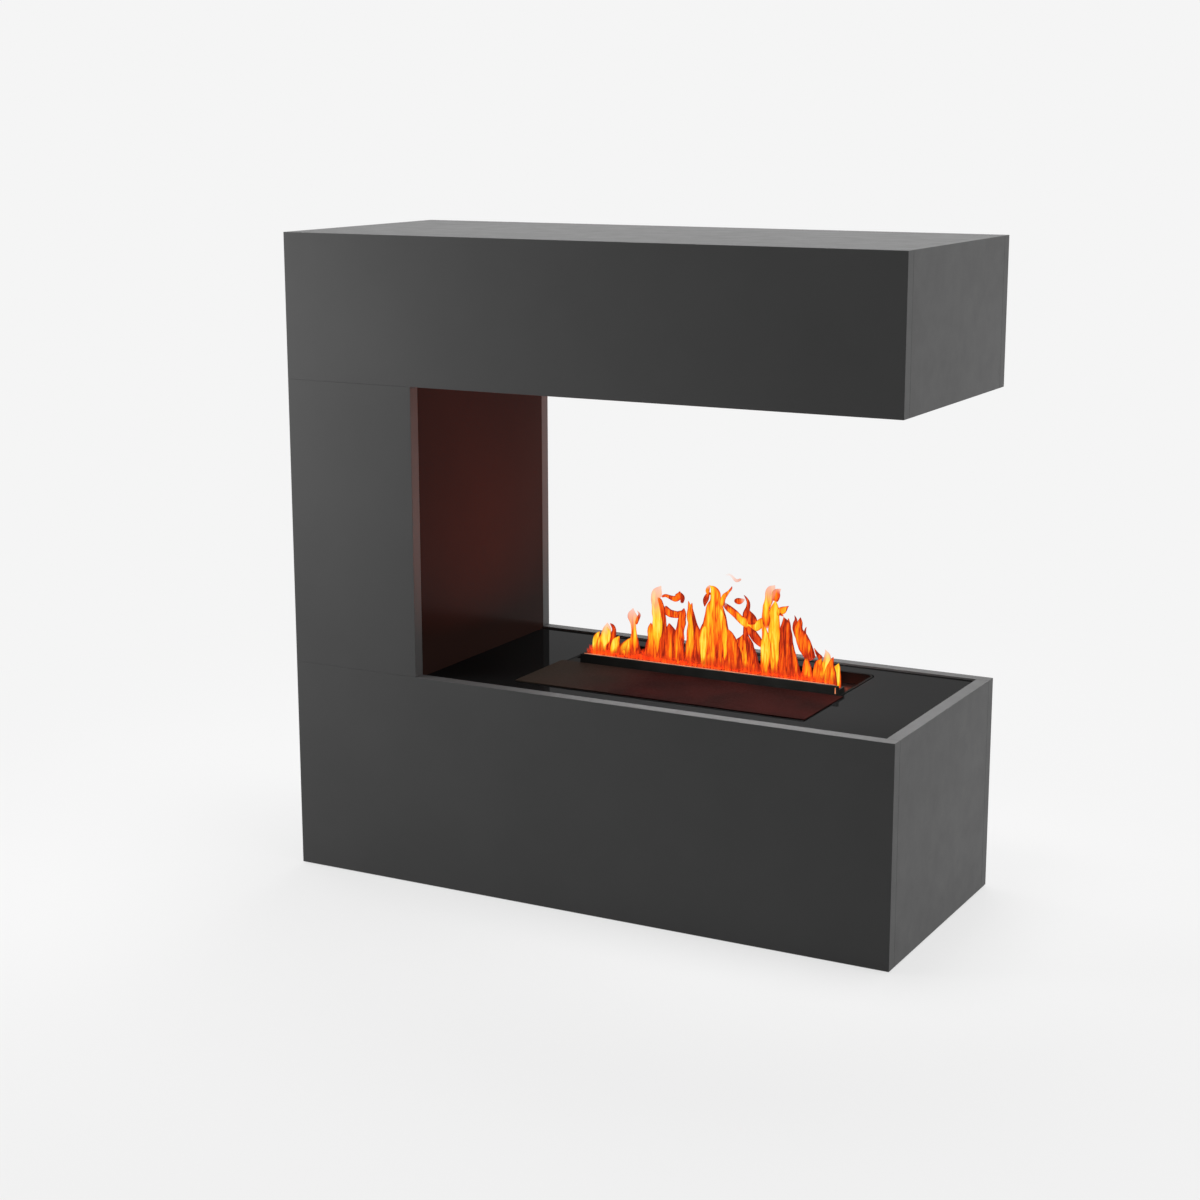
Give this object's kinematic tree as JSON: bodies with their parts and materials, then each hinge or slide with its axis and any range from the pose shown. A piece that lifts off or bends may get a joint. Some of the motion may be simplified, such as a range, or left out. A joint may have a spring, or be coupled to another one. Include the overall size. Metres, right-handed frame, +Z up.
{
  "type": "water vapour electric fireplace",
  "caption": "Free-standing C-shaped board fireplace: column and overhanging top box over a base whose glass deck holds a lift-out burner making lit vapour flames.",
  "frame": {"origin": "middle of the base, on the floor", "axes": "+X to the right seen from the front, +Y to the back, +Z up"},
  "size_m": [0.9, 0.37, 0.9],
  "materials": {
    "grey_board": "satin",
    "gloss_board": "gloss",
    "inner_board": "matte",
    "black_glass": "polished",
    "zinc_steel": "satin",
    "black_steel": "satin",
    "cover_steel": "satin",
    "black_plastic": "matte",
    "red_plastic": "gloss",
    "grey_plastic": "satin",
    "black_rubber": "matte",
    "tank_plastic": "gloss",
    "cap_plastic": "satin",
    "disc_brass": "satin",
    "circuit_green": "satin",
    "lamp": "gloss",
    "foam": "matte",
    "flame": "matte"
  },
  "bodies": {
    "carcass": {"lower_front_panel": "grey_board", "lower_rear_panel": "grey_board", "lower_left_side": "grey_board", "lower_right_side": "grey_board", "lower_bottom_panel": "grey_board", "column_front_panel": "grey_board", "column_rear_panel": "grey_board", "column_outer_side": "grey_board", "upper_front_panel": "grey_board", "upper_rear_panel": "grey_board", "upper_left_side": "grey_board", "upper_right_side": "grey_board", "upper_bottom_panel": "grey_board", "upper_top_panel": "grey_board", "column_inner_side": "gloss_board", "deck_board": "inner_board", "cassette_shelf": "inner_board", "support_battens": "inner_board", "column_rails": "inner_board", "upper_divider": "inner_board", "deck_glass": "black_glass", "corner_brackets": "zinc_steel", "bracket_screws": "zinc_steel", "joining_bolts": "zinc_steel", "insert_nuts": "zinc_steel", "rear_grille": "black_plastic", "base_glides": "black_plastic", "cable_grommet": "black_rubber"},
    "cassette": {"burner_casing": "black_steel", "casing_feet": "black_rubber", "mist_nozzle": "black_steel", "rear_tray": "black_steel", "tray_screws": "zinc_steel", "sump_tray": "black_plastic", "sump_lid": "black_plastic", "ultrasonic_discs": "disc_brass", "disc_seals": "black_rubber", "disc_cups": "black_plastic", "lamp_board": "circuit_green", "led_lamps": "lamp", "fan_housing": "black_plastic", "filter_frame": "black_plastic", "filter_foam": "foam", "control_panel": "black_plastic", "control_board": "circuit_green", "rocker_housing": "black_plastic", "power_supply": "black_plastic", "driver_board": "circuit_green", "mains_inlet": "black_plastic", "vapour_flame": "flame"},
    "cover": {"cover_plate": "cover_steel"},
    "tank": {"water_tank": "tank_plastic"},
    "cap": {"tank_cap": "cap_plastic"},
    "valve": {"valve_pin": "cap_plastic"},
    "fan": {"fan_rotor": "black_plastic"},
    "knob": {"flame_knob": "black_plastic"},
    "rocker": {"power_rocker": "red_plastic"},
    "button_1": {"push_button_1": "grey_plastic"},
    "button_2": {"push_button_2": "grey_plastic"},
    "button_3": {"push_button_3": "grey_plastic"}
  },
  "joints": [
    {"name": "cassette_lift", "type": "slide", "parent": "carcass", "child": "cassette", "axis": [0, 0, 1], "range_m": [0, 0.2]},
    {"name": "cover_lift", "type": "slide", "parent": "cassette", "child": "cover", "axis": [0, 0, 1], "range_m": [0, 0.195]},
    {"name": "tank_lift", "type": "slide", "parent": "cassette", "child": "tank", "axis": [0, 0, 1], "range_m": [0, 0.17]},
    {"name": "cap_turn", "type": "hinge", "parent": "tank", "child": "cap", "pos_m": [-0.0588, -0.0618, 0.1432], "axis": [0, 0, 1], "range_deg": [0, 360]},
    {"name": "valve_drop", "type": "slide", "parent": "cap", "child": "valve", "axis": [0, 0, -1], "range_m": [0, 0.003]},
    {"name": "fan_spin", "type": "hinge", "parent": "cassette", "child": "fan", "pos_m": [0.22575, -0.0614, 0.1842], "axis": [0, 0, 1], "continuous": true},
    {"name": "knob_turn", "type": "hinge", "parent": "cassette", "child": "knob", "pos_m": [0.22175, -0.0494, 0.2708], "axis": [0, 0, 1], "range_deg": [-135, 135]},
    {"name": "rocker_tilt", "type": "hinge", "parent": "cassette", "child": "rocker", "pos_m": [0.22175, -0.0854, 0.2688], "axis": [0, 1, 0], "range_deg": [0, 20]},
    {"name": "button_1_press", "type": "slide", "parent": "cassette", "child": "button_1", "axis": [0, 0, -1], "range_m": [0, 0.0015], "stiffness_N_per_m": 300},
    {"name": "button_2_press", "type": "slide", "parent": "cassette", "child": "button_2", "axis": [0, 0, -1], "range_m": [0, 0.0015], "stiffness_N_per_m": 300},
    {"name": "button_3_press", "type": "slide", "parent": "cassette", "child": "button_3", "axis": [0, 0, -1], "range_m": [0, 0.0015], "stiffness_N_per_m": 300}
  ],
  "couplings": [
    {"joint": "tank_lift", "follows": "cover_lift", "ratio": 0.87},
    {"joint": "valve_drop", "follows": "cover_lift", "ratio": 0.015}
  ]
}
